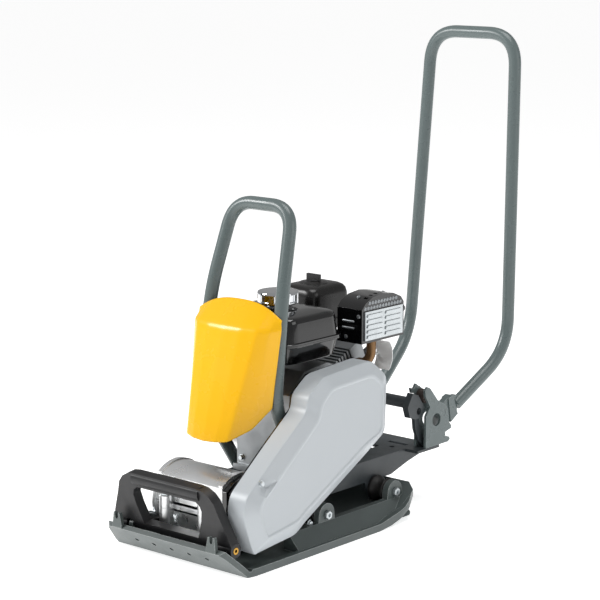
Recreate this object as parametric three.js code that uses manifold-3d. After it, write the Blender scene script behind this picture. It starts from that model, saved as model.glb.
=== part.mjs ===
// Plate compactor: a walk-behind vibrating plate with a single-cylinder engine.
// Millimetres. X points to the belt-guard side, -Y is the travel direction, Z is up.
// The origin is the centre of the flat sole, on the ground.
import * as THREE from 'three';
import { mergeVertices } from 'three/addons/utils/BufferGeometryUtils.js';
import Module from 'manifold-3d';

const wasm = await Module();
wasm.setup();

// ---- driving dimensions -------------------------------------------------
const GAP = 0.3;
const PLATE = { half: 152, floor: 9.5, front: -168, rear: 168 };
const MOUNT = { y: [60, 246], z: 49, x: 110, ear: 12, bolt: 5 };
const DECK = { top: 101, under: 96, half: 76, front: -5, rear: 398 };
const EXCITER = { y: -95.5, z: 77, radius: 66, left: -82, right: 66 };
const CRANK = { y: 112, z: 208 };
const CYL_TILT = THREE.MathUtils.degToRad(25);
const GUARD = { inner: 110, wall: 146, face: 158, skin: 2.6 };
const PIVOT = { y: 410, z: 158 };
const CARRY = { y: -180, z: 45, lean: THREE.MathUtils.degToRad(10.6) };
const TUBE_R = 11.5;
const FRONT_BOLTS = [[-52, -151], [36, -151]];
const REAR_BOSSES = [[-52, -25], [36, -25]];

const PAINT = {
  casting: [0x5f6664, 0.5, 0.3],
  steel: [0x4d5252, 0.45, 0.3],
  tube: [0x6a7371, 0.4, 0.3],
  yellow: [0xffc107, 0.35, 0],
  guard: [0xc4c9cc, 0.45, 0],
  alloy: [0xb9bbbb, 0.4, 0.8],
  black: [0x16171a, 0.3, 0],
  rubber: [0x1d1b1c, 0.8, 0],
  plastic: [0x2b2b2e, 0.55, 0],
  zinc: [0xaeb4b6, 0.3, 0.9],
  chrome: [0xd8dade, 0.1, 1],
  brass: [0xc79a4a, 0.3, 1],
  exhaust: [0x6b4a2c, 0.7, 0.5],
  pale: [0xe4e6e6, 0.5, 0.2],
};

// ---- small tools ----------------------------------------------------------
const group = new THREE.Group();

function addPart(name, solid, paint) {
  const mesh = solid.getMesh();
  const geometry = new THREE.BufferGeometry();
  geometry.setAttribute('position', new THREE.BufferAttribute(mesh.vertProperties, 3));
  geometry.setIndex(new THREE.BufferAttribute(mesh.triVerts, 1));
  const [color, roughness, metalness] = PAINT[paint];
  const material = new THREE.MeshStandardMaterial({ color, roughness, metalness });
  const part = new THREE.Mesh(geometry, material);
  part.name = name;
  group.add(part);
}

function solidOf(geometry) {
  geometry.deleteAttribute('normal');
  geometry.deleteAttribute('uv');
  const merged = mergeVertices(geometry, 1e-4);
  const mesh = new wasm.Mesh({
    numProp: 3,
    vertProperties: new Float32Array(merged.attributes.position.array),
    triVerts: new Uint32Array(merged.index.array),
  });
  return new wasm.Manifold(mesh);
}

function box(x0, x1, y0, y1, z0, z1) {
  const g = new THREE.BoxGeometry(x1 - x0, y1 - y0, z1 - z0);
  g.translate((x0 + x1) / 2, (y0 + y1) / 2, (z0 + z1) / 2);
  return solidOf(g);
}

// A cylinder along X from x0 to x1 round the line (y, z).
function rodX(r, x0, x1, y, z, sides = 24) {
  const g = new THREE.CylinderGeometry(r, r, x1 - x0, sides);
  g.rotateZ(Math.PI / 2);
  g.translate((x0 + x1) / 2, y, z);
  return solidOf(g);
}

function rodY(r, y0, y1, x, z, sides = 20) {
  const g = new THREE.CylinderGeometry(r, r, y1 - y0, sides);
  g.translate(x, (y0 + y1) / 2, z);
  return solidOf(g);
}

function rodZ(r, z0, z1, x, y, sides = 20) {
  const g = new THREE.CylinderGeometry(r, r, z1 - z0, sides);
  g.rotateX(Math.PI / 2);
  g.translate(x, y, (z0 + z1) / 2);
  return solidOf(g);
}

function shapeOf(points) {
  return new THREE.Shape(points.map(([u, v]) => new THREE.Vector2(u, v)));
}

// A side profile of (y, z) points drawn out along X.
function extrudeX(points, x0, x1) {
  const g = new THREE.ExtrudeGeometry(shapeOf(points), { depth: x1 - x0, bevelEnabled: false });
  g.applyMatrix4(new THREE.Matrix4().set(0, 0, 1, x0, 1, 0, 0, 0, 0, 1, 0, 0, 0, 0, 0, 1));
  return solidOf(g);
}

// A front profile of (x, z) points drawn out along Y.
function extrudeY(points, y0, y1) {
  const g = new THREE.ExtrudeGeometry(shapeOf(points), { depth: y1 - y0, bevelEnabled: false });
  g.applyMatrix4(new THREE.Matrix4().set(1, 0, 0, 0, 0, 0, -1, y1, 0, 1, 0, 0, 0, 0, 0, 1));
  return solidOf(g);
}

// A plan outline of (x, y) points drawn out along Z.
function extrudeZ(points, z0, z1) {
  const g = new THREE.ExtrudeGeometry(shapeOf(points), { depth: z1 - z0, bevelEnabled: false });
  g.translate(0, 0, z0);
  return solidOf(g);
}

// Profile of (radius, x) pairs turned about the X line through (y, z).
function turnX(profile, y, z, sides = 24) {
  const points = profile.map(([r, x]) => new THREE.Vector2(r, x));
  const g = new THREE.LatheGeometry(points, sides);
  g.rotateZ(-Math.PI / 2);
  g.translate(0, y, z);
  return solidOf(g);
}

// Profile of (radius, z) pairs turned about the upright line through (x, y).
function turnZ(profile, x, y, sides = 24) {
  const points = profile.map(([r, z]) => new THREE.Vector2(r, z));
  const g = new THREE.LatheGeometry(points, sides);
  g.rotateX(Math.PI / 2);
  g.translate(x, y, 0);
  return solidOf(g);
}

// Rings of equal length joined into one closed skin; flat is the axis the end caps look along.
function loft(rings, flat) {
  const n = rings[0].length;
  const keep = [0, 1, 2].filter((k) => k !== flat);
  const positions = rings.flat(2);
  const faces = [];
  for (let r = 0; r + 1 < rings.length; r += 1) {
    for (let i = 0; i < n; i += 1) {
      const a = r * n + i;
      const b = r * n + ((i + 1) % n);
      faces.push([a, b, b + n], [a, b + n, a + n]);
    }
  }
  const capOf = (ring) => {
    const outline = ring.map((p) => new THREE.Vector2(p[keep[0]], p[keep[1]]));
    const turned = THREE.ShapeUtils.isClockWise(outline);
    const order = ring.map((_, i) => (turned ? n - 1 - i : i));
    const tris = THREE.ShapeUtils.triangulateShape(order.map((i) => outline[i]), []);
    return tris.map((t) => t.map((i) => order[i])).map((t) => (turned ? t.slice().reverse() : t));
  };
  const last = (rings.length - 1) * n;
  capOf(rings[0]).forEach((t) => faces.push([t[0], t[2], t[1]]));
  capOf(rings[rings.length - 1]).forEach((t) => faces.push(t.map((i) => i + last)));
  const at = (i) => new THREE.Vector3(positions[3 * i], positions[3 * i + 1], positions[3 * i + 2]);
  let volume = 0;
  faces.forEach(([a, b, c]) => { volume += at(a).dot(at(b).cross(at(c))); });
  const index = volume < 0 ? faces.map(([a, b, c]) => [a, c, b]) : faces;
  const g = new THREE.BufferGeometry();
  g.setAttribute('position', new THREE.Float32BufferAttribute(positions, 3));
  g.setIndex(index.flat());
  return solidOf(g);
}

// The outline moved inwards by d, each side kept parallel to itself.
function inset(points, d) {
  const n = points.length;
  let area = 0;
  points.forEach(([u, v], i) => {
    const [p, q] = points[(i + 1) % n];
    area += u * q - p * v;
  });
  const s = Math.sign(area) * d;
  return points.map(([u, v], i) => {
    const a = points[(i + n - 1) % n];
    const b = points[(i + 1) % n];
    const e1 = new THREE.Vector2(u - a[0], v - a[1]).normalize();
    const e2 = new THREE.Vector2(b[0] - u, b[1] - v).normalize();
    const n1 = new THREE.Vector2(-e1.y, e1.x);
    const n2 = new THREE.Vector2(-e2.y, e2.x);
    const k = s / (1 + n1.dot(n2));
    return [u + k * (n1.x + n2.x), v + k * (n1.y + n2.y)];
  });
}

const ringX = (outline, x) => outline.map(([y, z]) => [x, y, z]);

// Corners of a path rounded to the radius r, as one curve.
function bentPath(points, r) {
  const path = new THREE.CurvePath();
  const at = points.map((p) => new THREE.Vector3(...p));
  let start = at[0];
  for (let i = 1; i + 1 < at.length; i += 1) {
    const before = at[i - 1].clone().sub(at[i]).normalize().multiplyScalar(r).add(at[i]);
    const after = at[i + 1].clone().sub(at[i]).normalize().multiplyScalar(r).add(at[i]);
    path.add(new THREE.LineCurve3(start, before));
    path.add(new THREE.QuadraticBezierCurve3(before, at[i], after));
    start = after;
  }
  path.add(new THREE.LineCurve3(start, at[at.length - 1]));
  return path;
}

function tube(points, bend, radius, steps, sides = 10) {
  const ring = new THREE.Shape();
  for (let i = 0; i < sides; i += 1) {
    const a = (i / sides) * 2 * Math.PI;
    ring[i ? 'lineTo' : 'moveTo'](radius * Math.cos(a), radius * Math.sin(a));
  }
  ring.closePath();
  const options = { steps, bevelEnabled: false, extrudePath: bentPath(points, bend) };
  return solidOf(new THREE.ExtrudeGeometry(ring, options));
}

// Turns a solid about the X line through (y, z).
function turned(solid, angle, y, z) {
  const deg = THREE.MathUtils.radToDeg(angle);
  return solid.translate([0, -y, -z]).rotate([deg, 0, 0]).translate([0, y, z]);
}

const sum = (parts) => parts.reduce((a, b) => a.add(b));
const bothSides = (make) => [['left', -1], ['right', 1]].forEach(([side, s]) => make(side, s));
const span = (s, a, b) => (s > 0 ? [a, b] : [-b, -a]);

// ---- base plate: one casting with rails, mount ears and accessory forks ------
function basePlate() {
  const under = [[-211, 43], [PLATE.front, 0], [PLATE.rear, 0], [200, 3.5], [230, 11], [258, 23],
    [283, 38], [300, 48]];
  const upper = [[294, 56], [275, 46], [252, 33], [226, 21], [198, 13], [PLATE.rear, PLATE.floor],
    [-164, PLATE.floor], [-204, 49]];
  const pan = extrudeX(under.concat(upper), -PLATE.half, PLATE.half);
  const right = [[118, -216], [134, -204], [147, -176], [152, -152], [152, 222], [148, 254],
    [136, 280], [112, 297], [80, 303]];
  const left = right.map(([x, y]) => [-x, y]).reverse();
  const plan = extrudeZ(right.concat(left), -1, 90);
  const pieces = [];
  bothSides((side, s) => {
    const rim = extrudeX([[-165, 1], [170, 1], [240, 16], [285, 41], [280, 52], [240, 27],
      [170, 13], [-158, 13]], ...span(s, 140, 152));
    pieces.push(rim);
    const rail = extrudeY([[148, 9], [128, 31], [122, 38], [110, 38], [110, 9]]
      .map(([x, z]) => [s * x, z]), -38, 262);
    pieces.push(rail);
    MOUNT.y.forEach((y) => pieces.push(mountEar(s, y)));
    pieces.push(extrudeX([[-190, 45], [-170, 45], [-150, 9], [-170, 8]], ...span(s, 92, 100)));
    pieces.push(rodX(10, ...span(s, 92, 100), CARRY.y, CARRY.z));
  });
  const pinHoles = [rodX(4.3, -104, -90, CARRY.y, CARRY.z), rodX(4.3, 90, 104, CARRY.y, CARRY.z)];
  const cast = sum([pan, ...pieces]).intersect(plan);
  return cast.subtract(sum([...pinHoles, ...frontHoles(), ...boltHoles(), ...bufferPockets()]));
}

// Hollows in the casting that keep it clear of the buffers and the deck flanges.
function bufferPockets() {
  const pockets = [];
  MOUNT.y.forEach((y) => {
    pockets.push(rodX(24.5, 69, MOUNT.x, y, MOUNT.z, 24));
    pockets.push(rodX(24.5, -MOUNT.x, -69, y, MOUNT.z, 24));
  });
  return pockets;
}

function mountEar(s, y) {
  const [x0, x1] = span(s, MOUNT.x, MOUNT.x + MOUNT.ear);
  const web = extrudeX([[y - 24, 9], [y + 24, 9], [y + 20, MOUNT.z], [y - 20, MOUNT.z]], x0, x1);
  return web.add(rodX(20, x0, x1, y, MOUNT.z, 24));
}

function boltHoles() {
  const holes = [];
  MOUNT.y.forEach((y) => {
    holes.push(rodX(MOUNT.bolt + GAP, -125, -105, y, MOUNT.z));
    holes.push(rodX(MOUNT.bolt + GAP, 105, 125, y, MOUNT.z));
  });
  return holes;
}

// An upright fork on the front lip that takes the rod of a paving pad.
function fork(s) {
  const plate = extrudeY([[96, 42], [118, 42], [115, 70], [111.5, 70], [111.5, 62], [109.5, 58.5],
    [106.5, 58.5], [104.5, 62], [104.5, 70], [101, 70], [97, 52]].map(([x, z]) => [s * x, z]),
  -211, -204);
  const lip = extrudeX([[-212, 42], [-204, 49], [-164, 9.5], [-168, 0]], -PLATE.half, PLATE.half);
  return plate.subtract(lip.translate([0, 0, GAP]));
}

function frontHoles() {
  const holes = [];
  for (let i = -2; i <= 2; i += 1) {
    const drain = rodZ(4.4, -16, 16, 0, 0, 12);
    holes.push(turned(drain, THREE.MathUtils.degToRad(-46), 0, 0).translate([i * 40, -190, 24]));
  }
  return holes;
}

// ---- rubber buffers and their bolts -------------------------------------------
function rubberMount(s, y) {
  const a = DECK.half + GAP;
  const b = MOUNT.x - GAP;
  const m = (a + b) / 2;
  const profile = [[0, a], [20.5, a], [22.5, a + 3], [22, a + 9], [16.5, m], [15.5, m + 3],
    [18, b - 6], [19, b - 2], [18, b], [0, b]];
  const solid = turnX(profile, y, MOUNT.z, 16);
  return s > 0 ? solid : solid.mirror([1, 0, 0]);
}

function mountBolt(s, y) {
  const shank = rodX(MOUNT.bolt, MOUNT.x, 123, y, MOUNT.z, 12);
  const head = rodX(8.6, MOUNT.x + MOUNT.ear + GAP, 128.5, y, MOUNT.z, 6);
  const bolt = shank.add(head);
  return s > 0 ? bolt : bolt.mirror([1, 0, 0]);
}

// ---- exciter: a split aluminium housing round an eccentric shaft ------------------
function exciterBody() {
  const outline = [[-138, 10], [-52, 10], [-48, 60]];
  for (let i = 0; i <= 12; i += 1) {
    const a = THREE.MathUtils.degToRad(18 + (i / 12) * 113);
    outline.push([EXCITER.y + EXCITER.radius * Math.cos(a), EXCITER.z + EXCITER.radius * Math.sin(a)]);
  }
  const shell = extrudeX(outline, EXCITER.left, EXCITER.right);
  const ribs = [EXCITER.left, EXCITER.right - 9].map((x) => rodX(EXCITER.radius + 2, x, x + 9,
    EXCITER.y, EXCITER.z, 28).intersect(box(x, x + 9, -138, -40, 79, 160)));
  const bosses = [];
  [...FRONT_BOLTS, ...REAR_BOSSES].forEach(([x, y]) => {
    bosses.push(rodZ(10.5, 10, 97, x, y, 14));
    bosses.push(box(x - 8, x + 8, Math.min(y, EXCITER.y), Math.max(y, EXCITER.y), 10, 84));
  });
  const flange = box(EXCITER.left, EXCITER.right, -142, -44, 73, 81);
  const cavity = rodX(44, -60, 46, EXCITER.y, EXCITER.z, 24);
  const bore = rodX(14.5, -83, 70, EXCITER.y, EXCITER.z, 16);
  const bolts = FRONT_BOLTS.map(([x, y]) => rodZ(4.4, 40, 99, x, y, 10));
  return sum([shell, ...ribs, ...bosses, flange]).subtract(sum([cavity, bore, ...bolts]));
}

function exciterLower() {
  return exciterBody().intersect(box(-120, 120, -200, 20, 0, EXCITER.z - GAP / 2));
}

function exciterUpper() {
  return exciterBody().intersect(box(-120, 120, -200, 20, EXCITER.z + GAP / 2, 200));
}

function exciterBolt([x, y]) {
  return rodZ(4, 44, 98, x, y, 10).add(rodZ(7.5, 97 + GAP, 103.5, x, y, 6));
}

function exciterEndCover() {
  return turnX([[0, -91], [30, -91], [34, -88], [52, -88], [52, -82.3], [0, -82.3]],
    EXCITER.y, EXCITER.z, 32);
}

function exciterEndPlate() {
  const plate = extrudeX([[-139, 12], [-50, 12], [-36, 40], [-34, 80], [-44, 112], [-66, 134],
    [-95, 141], [-122, 134], [-139, 122]], 66 + GAP, 76);
  return plate.subtract(rodX(14.5, 60, 80, EXCITER.y, EXCITER.z, 24));
}

function exciterShaft() {
  const shaft = rodX(14, -80, 84, EXCITER.y, EXCITER.z, 20).add(rodX(9.5, 80, 145, EXCITER.y, EXCITER.z, 20));
  const weight = rodX(40, -52, 38, EXCITER.y, EXCITER.z, 32)
    .intersect(box(-60, 60, -200, 50, 0, EXCITER.z - 4));
  return shaft.add(weight);
}

function grooved(outer, root, bore, y, z) {
  return turnX([[bore, 118], [outer, 118], [outer, 120.2], [root, 120.2], [root, 131.8],
    [outer, 131.8], [outer, 134], [bore, 134], [bore, 118]], y, z, 24);
}

function exciterPulley() {
  return grooved(32, 27, 9.9, EXCITER.y, EXCITER.z);
}

// ---- front carrying handle -----------------------------------------------------
function carryHandle() {
  const outer = [[-134, -11], [-134, 10], [-127, 30], [-114, 62], [-108, 80], [-98, 92], [-84, 99],
    [-70, 101], [70, 101], [84, 99], [98, 92], [108, 80], [114, 62], [127, 30], [134, 10],
    [134, -11], [103, -11], [103, 13], [89, 13], [86, 0], [-86, 0], [-89, 13], [-103, 13],
    [-103, -11]];
  const window = [[-62, 12], [-74, 44], [-78, 62], [-75, 71], [-67, 77], [67, 77], [75, 71],
    [78, 62], [74, 44], [62, 12]];
  const shift = (points) => points.map(([x, h]) => [x, h + CARRY.z]);
  const frame = extrudeY(shift(outer), CARRY.y - 9, CARRY.y + 9);
  const grip = rodX(12.5, -76, 76, CARRY.y, CARRY.z + 89, 20);
  const hole = extrudeY(shift(window), CARRY.y - 20, CARRY.y + 20);
  const barrels = [rodX(12, -134, -104, CARRY.y, CARRY.z), rodX(12, 104, 134, CARRY.y, CARRY.z)];
  const bores = [rodX(6.3, -140, -101, CARRY.y, CARRY.z), rodX(6.3, 101, 140, CARRY.y, CARRY.z)];
  const body = sum([frame, ...barrels]).subtract(hole).add(grip).subtract(sum(bores));
  return turned(body, CARRY.lean, CARRY.y, CARRY.z);
}

// A brass bush with a thin spigot that reaches the inner ear.
function pivotBush(s) {
  const bush = turnX([[2.6, 104], [6, 104], [6, 134.5], [2.6, 134.5], [2.6, 104]],
    CARRY.y, CARRY.z, 12);
  const spigot = turnX([[2.6, 93], [4, 93], [4, 105], [2.6, 105], [2.6, 93]], CARRY.y, CARRY.z, 12);
  const solid = bush.add(spigot);
  return s > 0 ? solid : solid.mirror([1, 0, 0]);
}

// ---- engine deck and the frames on it ---------------------------------------------
function engineDeck() {
  const top = box(-DECK.half, DECK.half, DECK.front, DECK.rear, DECK.under, DECK.top);
  const wings = box(-104, 104, 334, DECK.rear, DECK.under, DECK.top);
  const flange = [[-5, 97], [-5, 68], [28, 62], [92, 62], [208, 62], [292, 62], [340, 76], [386, 86],
    [398, 92], [398, 97]];
  const flanges = [];
  bothSides((side, s) => {
    flanges.push(extrudeX(flange, ...span(s, 71, 76)));
    MOUNT.y.forEach((y) => {
      flanges.push(rodX(21.5, ...span(s, 71, 76), y, MOUNT.z, 24));
      flanges.push(extrudeX([[y - 21, MOUNT.z], [y + 21, MOUNT.z], [y + 32, 70], [y - 32, 70]],
        ...span(s, 71, 76)));
    });
  });
  const slots = [box(20, 62, 352, 362, 90, 110), box(-62, -20, 352, 362, 90, 110),
    box(-26, 26, 300, 322, 90, 110), rodZ(5, 90, 110, 48, 330), rodZ(5, 90, 110, -48, 330)];
  return sum([top, wings, ...flanges]).subtract(sum(slots));
}

function liftHoop() {
  const right = [[90, 75, 90], [85, -30, 236], [80, -6, 424], [65, 37, 571]];
  const left = right.map(([x, y, z]) => [-x, y, z]).reverse();
  const hoop = tube(right.concat(left), 38, TUBE_R, 54, 8);
  const feet = [];
  bothSides((side, s) => {
    feet.push(box(...span(s, 76 + GAP, 84), 56, 90, 76, 95));
    feet.push(box(...span(s, 82, 97), 60, 86, 80, 94));
  });
  const cut = box(-130, 130, 0, 130, 40, 80);
  return hoop.subtract(cut).add(sum(feet));
}

// A moulded shield, open at the back, hung in front of the two hoop legs.
function coverRing(z, front, mid, rear, thin) {
  const right = [[0, front[1] - 9], [front[0] * 0.55, front[1] - 6], front, mid, rear];
  const half = right.map(([x, y]) => [Math.max(x - thin, 0), y + thin]);
  const other = half.slice(1).map(([x, y]) => [-x, y]).reverse();
  return half.concat(other).map(([x, y]) => [x, y, z]);
}

function coverSkin(thin, back) {
  const levels = [
    [180, [46, -107], [70, -86], [84, back]],
    [284, [57, -80], [80, -60], [90, back]],
    [372, [68, -55], [85, -36], [95, back]],
    [404, [64, -43], [80, -30], [92, back]],
    [418, [48, -32], [60, -26], [76, back]],
  ];
  return loft(levels.map(([z, f, m, r]) => coverRing(z - (z > 400 ? thin : 0), f, m, r, thin)), 2);
}

function frontCover() {
  const shell = coverSkin(0, -19).subtract(coverSkin(3, -10));
  const leg = [[85, -62, 192], [85, -30, 236], [80, -6, 424], [74, 12, 484]];
  const legs = [1, -1].map((side) => tube(leg.map(([x, y, z]) => [side * x, y, z]), 38, 12.1, 26));
  const under = extrudeX([[-160, 150], [20, 150], [20, 300], [-40, 256], [-86, 214], [-130, 196],
    [-160, 190]], -130, 130);
  const behind = extrudeX([[-44, 100], [30, 100], [30, 500], [-4, 500], [-20, 412], [-36, 236]],
    -130, 130);
  return shell.subtract(under).subtract(behind).subtract(sum(legs));
}

function rearCrossBar() {
  const bar = rodX(10.5, -85, 85, 330, 188, 20);
  const lug = [[314, 183], [329, 207], [345, 201], [364, 175], [352, 157], [337, 158], [321, 163]];
  const arm = [[340, 162], [353, 162], [356, 138], [364, 121], [380, 108], [380, DECK.top + GAP],
    [367, DECK.top + GAP], [352, 117], [343, 138]];
  const pieces = [bar];
  bothSides((side, s) => {
    pieces.push(extrudeX(lug, ...span(s, 83.5, 96)));
    pieces.push(extrudeX(arm, ...span(s, 84, 91)));
  });
  const holes = rodX(6.5, -100, -70, 347, 171).add(rodX(6.5, 70, 100, 347, 171));
  return sum(pieces).subtract(holes);
}

// Two cheek plates joined by a sole and a low rear web, standing on the deck.
function handleBracket(s) {
  const foot = DECK.top + GAP;
  const cheek = [[358, foot], [424, foot], [430, 105], [428, 110], [416, 114], [416, 121],
    [433, 125], [434, 130], [427, 138], [423, 162], [415, 172], [392, 185], [369, 211], [362, 214],
    [355, 208], [356, 198], [370, 176], [358, 160]];
  const inner = extrudeX(cheek, ...span(s, 76.4, 81.4));
  const teeth = extrudeX([[357, 200], [376, 200], [380, 204], [364, 213], [357, 218], [351, 210],
    [341, 213], [344, 203]], ...span(s, 76.4, 81.4));
  const outer = extrudeX(cheek, ...span(s, 99, 104));
  const sole = box(...span(s, 78, 101), 386, 426, foot, 105);
  const web = box(...span(s, 78, 101), 410, 415, foot, 113);
  const holes = rodX(12.3, ...span(s, 70, 110), 389, 149, 18)
    .add(rodX(6.3, ...span(s, 70, 110), PIVOT.y, PIVOT.z, 16));
  return sum([inner, teeth, outer, sole, web]).subtract(holes);
}

function stopRoller(s) {
  return rodX(12.5, ...span(s, 81.4 + GAP, 99 - GAP), 368, 195, 20);
}

// ---- guide handle: bent tube, welded end tongues with pivot pins ---------------------
function guideHandle() {
  const right = [[92, 462, 163], [115, 590, 249], [96, 626, 831]];
  const left = right.map(([x, y, z]) => [-x, y, z]).reverse();
  return tube(right.concat(left), 48, TUBE_R, 64, 8);
}

function handleEnd(s) {
  const tongue = extrudeX([[402, 152], [402, 165], [412, 170], [432, 180], [461, 181], [461, 144],
    [438, 138], [412, 148]], ...span(s, 84.2, 96.2));
  const block = extrudeX([[440, 134], [461, 146], [444, 184], [432, 180]], ...span(s, 82, 98.6));
  const pin = rodX(6, ...span(s, 77, 103.5), PIVOT.y, PIVOT.z, 16);
  const leg = tube([[s * 91.94, 461.7, 162.8], [s * 115, 590, 249]], 1, TUBE_R + GAP, 2, 8);
  return sum([tongue, block, pin]).subtract(leg);
}

// ---- engine -----------------------------------------------------------------------
function crankcase() {
  const outline = [[36, DECK.top + GAP], [186, DECK.top + GAP], [200, 202.7], [164.4, 278.8],
    [134, 292], [74, 285], [36, 250]];
  const body = extrudeX(outline, -62, 60);
  const feet = box(-66, 66, 30, 190, DECK.top + GAP, DECK.top + 12);
  const chamber = rodX(57, -50, 61, CRANK.y, CRANK.z);
  return body.add(feet).subtract(chamber).subtract(rodX(10, -70, 70, CRANK.y, CRANK.z));
}

function crankcaseCover() {
  return turnX([[10, 60.3], [70, 60.3], [70, 67], [58, 71], [28, 72], [24, 76], [10, 76],
    [10, 60.3]], CRANK.y, CRANK.z, 24);
}

// Places something built along Z at a distance along the tilted cylinder axis.
function onCylinder(solid) {
  const deg = 90 - THREE.MathUtils.radToDeg(CYL_TILT);
  return solid.rotate([-deg, 0, 0]).translate([0, CRANK.y, CRANK.z]);
}

function cylinderBlock() {
  const core = box(-36, 36, -34, 34, 78, 134);
  const fins = [];
  for (let i = 0; i < 7; i += 1) {
    const z = 80 + i * 8;
    fins.push(box(-46, 46, -42, 40, z, z + 4));
  }
  return onCylinder(sum([core, ...fins]));
}

function cylinderHead() {
  const block = box(-42, 42, -38, 38, 134.3, 164);
  const cover = box(-34, 18, -32, 32, 163, 188);
  return onCylinder(block.add(cover));
}

function sparkPlugCap() {
  return onCylinder(turnZ([[0, 164.3], [7, 164.3], [9, 172], [9, 196], [6, 202], [0, 202]], 31, 4, 16));
}

function fanCover() {
  const housing = turnX([[0, -136], [52, -136], [60, -128], [80, -122], [84, -114], [84, -64.3],
    [0, -64.3]], CRANK.y, CRANK.z, 28);
  const panel = box(-116, -64.3, 34, 80, 242, 284);
  const inside = rodX(80, -112, -60, CRANK.y, CRANK.z, 28);
  const corner = box(-112, -60, 37, 77, 242, 281);
  return housing.add(panel).subtract(inside).subtract(corner);
}

function starterGrip() {
  const bar = rodX(6.5, -146, -110, 36, 292, 12);
  const neck = rodZ(5, 284.5, 292, -128, 36, 12);
  return bar.add(neck);
}

function tankRing(z, grow, x0, x1, y0, y1) {
  const c = 16;
  const [a, b, f, r] = [x0 - grow, x1 + grow, y0 - grow, y1 + grow];
  return [[a + c, f], [b - c, f], [b, f + c], [b, r - c], [b - c, r], [a + c, r], [a, r - c], [a, f + c]]
    .map(([x, y]) => [x, y, z]);
}

function fuelTankLower() {
  const rings = [[306, -10], [309, -6], [336, -2], [336.2, 3], [341, 3]];
  const inner = [[309, -11], [345, -5]];
  return tankSkin(rings, inner);
}

function tankSkin(outer, inner) {
  const solid = (rings) => loft(rings.map(([z, g]) => tankRing(z, g, -96, 84, 6, 148)), 2);
  return solid(outer).subtract(solid(inner));
}

function fuelTankUpper() {
  const rings = [[341.3, 3], [345, 3], [345.2, -2], [376, -6], [387, -14], [391, -28]];
  const neck = rodZ(27, 389, 396, 0, 74, 28);
  return tankSkin(rings, [[338, -5], [376, -9], [387, -20]]).add(neck);
}

function fuelCap() {
  return turnZ([[0, 396.3], [34, 396.3], [35.5, 398], [35.5, 408], [33, 412], [0, 414]], 0, 74, 24);
}

function airCleanerBase() {
  return box(-106, -24, 196, 294, 322, 336);
}

function airCleanerCover() {
  const rings = [[336.3, 2], [342, 2], [388, -1], [398, -7], [402, -18]];
  return loft(rings.map(([z, g]) => tankRing(z, g, -110, -20, 190, 298)), 2);
}

function airCleanerKnob() {
  const stem = rodZ(12, 402.3, 406, -65, 244, 16);
  return stem.add(box(-80, -50, 241, 247, 405, 417));
}

function carburettor() {
  const body = box(-82, -52, 214, 252, 292, 316);
  const bowl = rodZ(13, 274, 293, -68, 233, 20);
  const neck = rodZ(14, 315, 321.7, -68, 233, 20);
  return sum([body, bowl, neck]);
}

function lever(x, y, z, up) {
  const plate = box(x - 1.5, x + 1.5, y - 4, y + 4, z, z + up);
  return plate.add(rodX(5, x - 1.5, x + 1.5, y, z, 12)).add(box(x - 8, x + 1.5, y - 6, y + 6, z + up - 4, z + up));
}

function chokeLever() {
  return lever(-84, 226, 304, 26).intersect(box(-120, -82.3, 200, 260, 280, 320));
}

function throttleLever() {
  return lever(-20, 168, 296, 34);
}

function mufflerGuard() {
  const side = [[182, 320], [298, 320], [298, 380], [290, 390], [268, 399], [240, 402], [212, 399],
    [192, 390], [182, 380]];
  const shell = extrudeX(side, 42, 97);
  const hollow = extrudeX([[185, 323], [295, 323], [295, 378], [268, 395], [240, 398], [212, 395],
    [185, 378]], 45, 94).add(box(90, 100, 192, 288, 329, 372));
  const slots = [];
  for (let i = 0; i < 6; i += 1) {
    const y = 204 + i * 13;
    slots.push(box(82, 90, y, y + 5, 380, 410));
  }
  const port = rodZ(9.5, 315, 326, 80, 229, 20);
  return shell.subtract(hollow).subtract(sum(slots)).subtract(port);
}

function mufflerBody() {
  return extrudeX([[190, 330], [200, 325], [280, 325], [290, 330], [290, 374], [276, 386],
    [204, 386], [190, 374]], 50, 92);
}

function louvrePanel() {
  const panel = box(97.3, 100, 188, 292, 325, 376);
  const lips = [];
  for (let row = 0; row < 5; row += 1) {
    for (let col = 0; col < 2; col += 1) {
      const y = 192 + col * 50;
      const z = 329 + row * 9.2;
      lips.push(extrudeX([[0, 0], [44, 0], [42, 5], [2, 5]], 99, 102).translate([0, y, z]));
    }
  }
  return sum([panel, ...lips]);
}

function exhaustPipe() {
  const pipe = tube([[80, 229, 324.6], [80, 229, 287], [56, 222, 268]], 14, 8.5, 10, 12);
  const flange = box(48, 60, 208, 236, 254, 282);
  const head = onCylinder(box(-46.6, 46.6, -42.6, 40.6, 77, 165));
  return pipe.add(flange).subtract(head);
}

// A thin curved sheet that keeps exhaust heat off the handle.
function heatDeflector() {
  const arc = [];
  for (let i = 0; i <= 10; i += 1) {
    const a = THREE.MathUtils.degToRad(62 - i * 13);
    arc.push([243 + 18 * Math.cos(a), 290 + 28 * Math.sin(a)]);
  }
  const back = arc.map(([y, z]) => [y + 1.6, z]).reverse();
  return extrudeX(arc.concat(back), 66, 102).add(box(66, 70, 246, 261.6, 286, 290));
}

function oilFillerCap() {
  return rodY(13, 24, 35.7, 34, 134, 16).add(box(20, 48, 18, 25, 131, 137));
}

function engineSwitch() {
  return rodY(9, 24, 33.7, -92, 264, 16).add(box(-94.5, -89.5, 17, 25, 256, 272));
}

// ---- drive: crankshaft with centrifugal clutch, belt and guard ------------------------
function crankshaft() {
  const shaft = rodX(9.5, -58, 145, CRANK.y, CRANK.z, 20);
  const drum = turnX([[0, 135], [50, 135], [50, 142], [0, 142]], CRANK.y, CRANK.z, 24);
  return sum([shaft, grooved(45, 40, 9, CRANK.y, CRANK.z), drum]);
}

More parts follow.
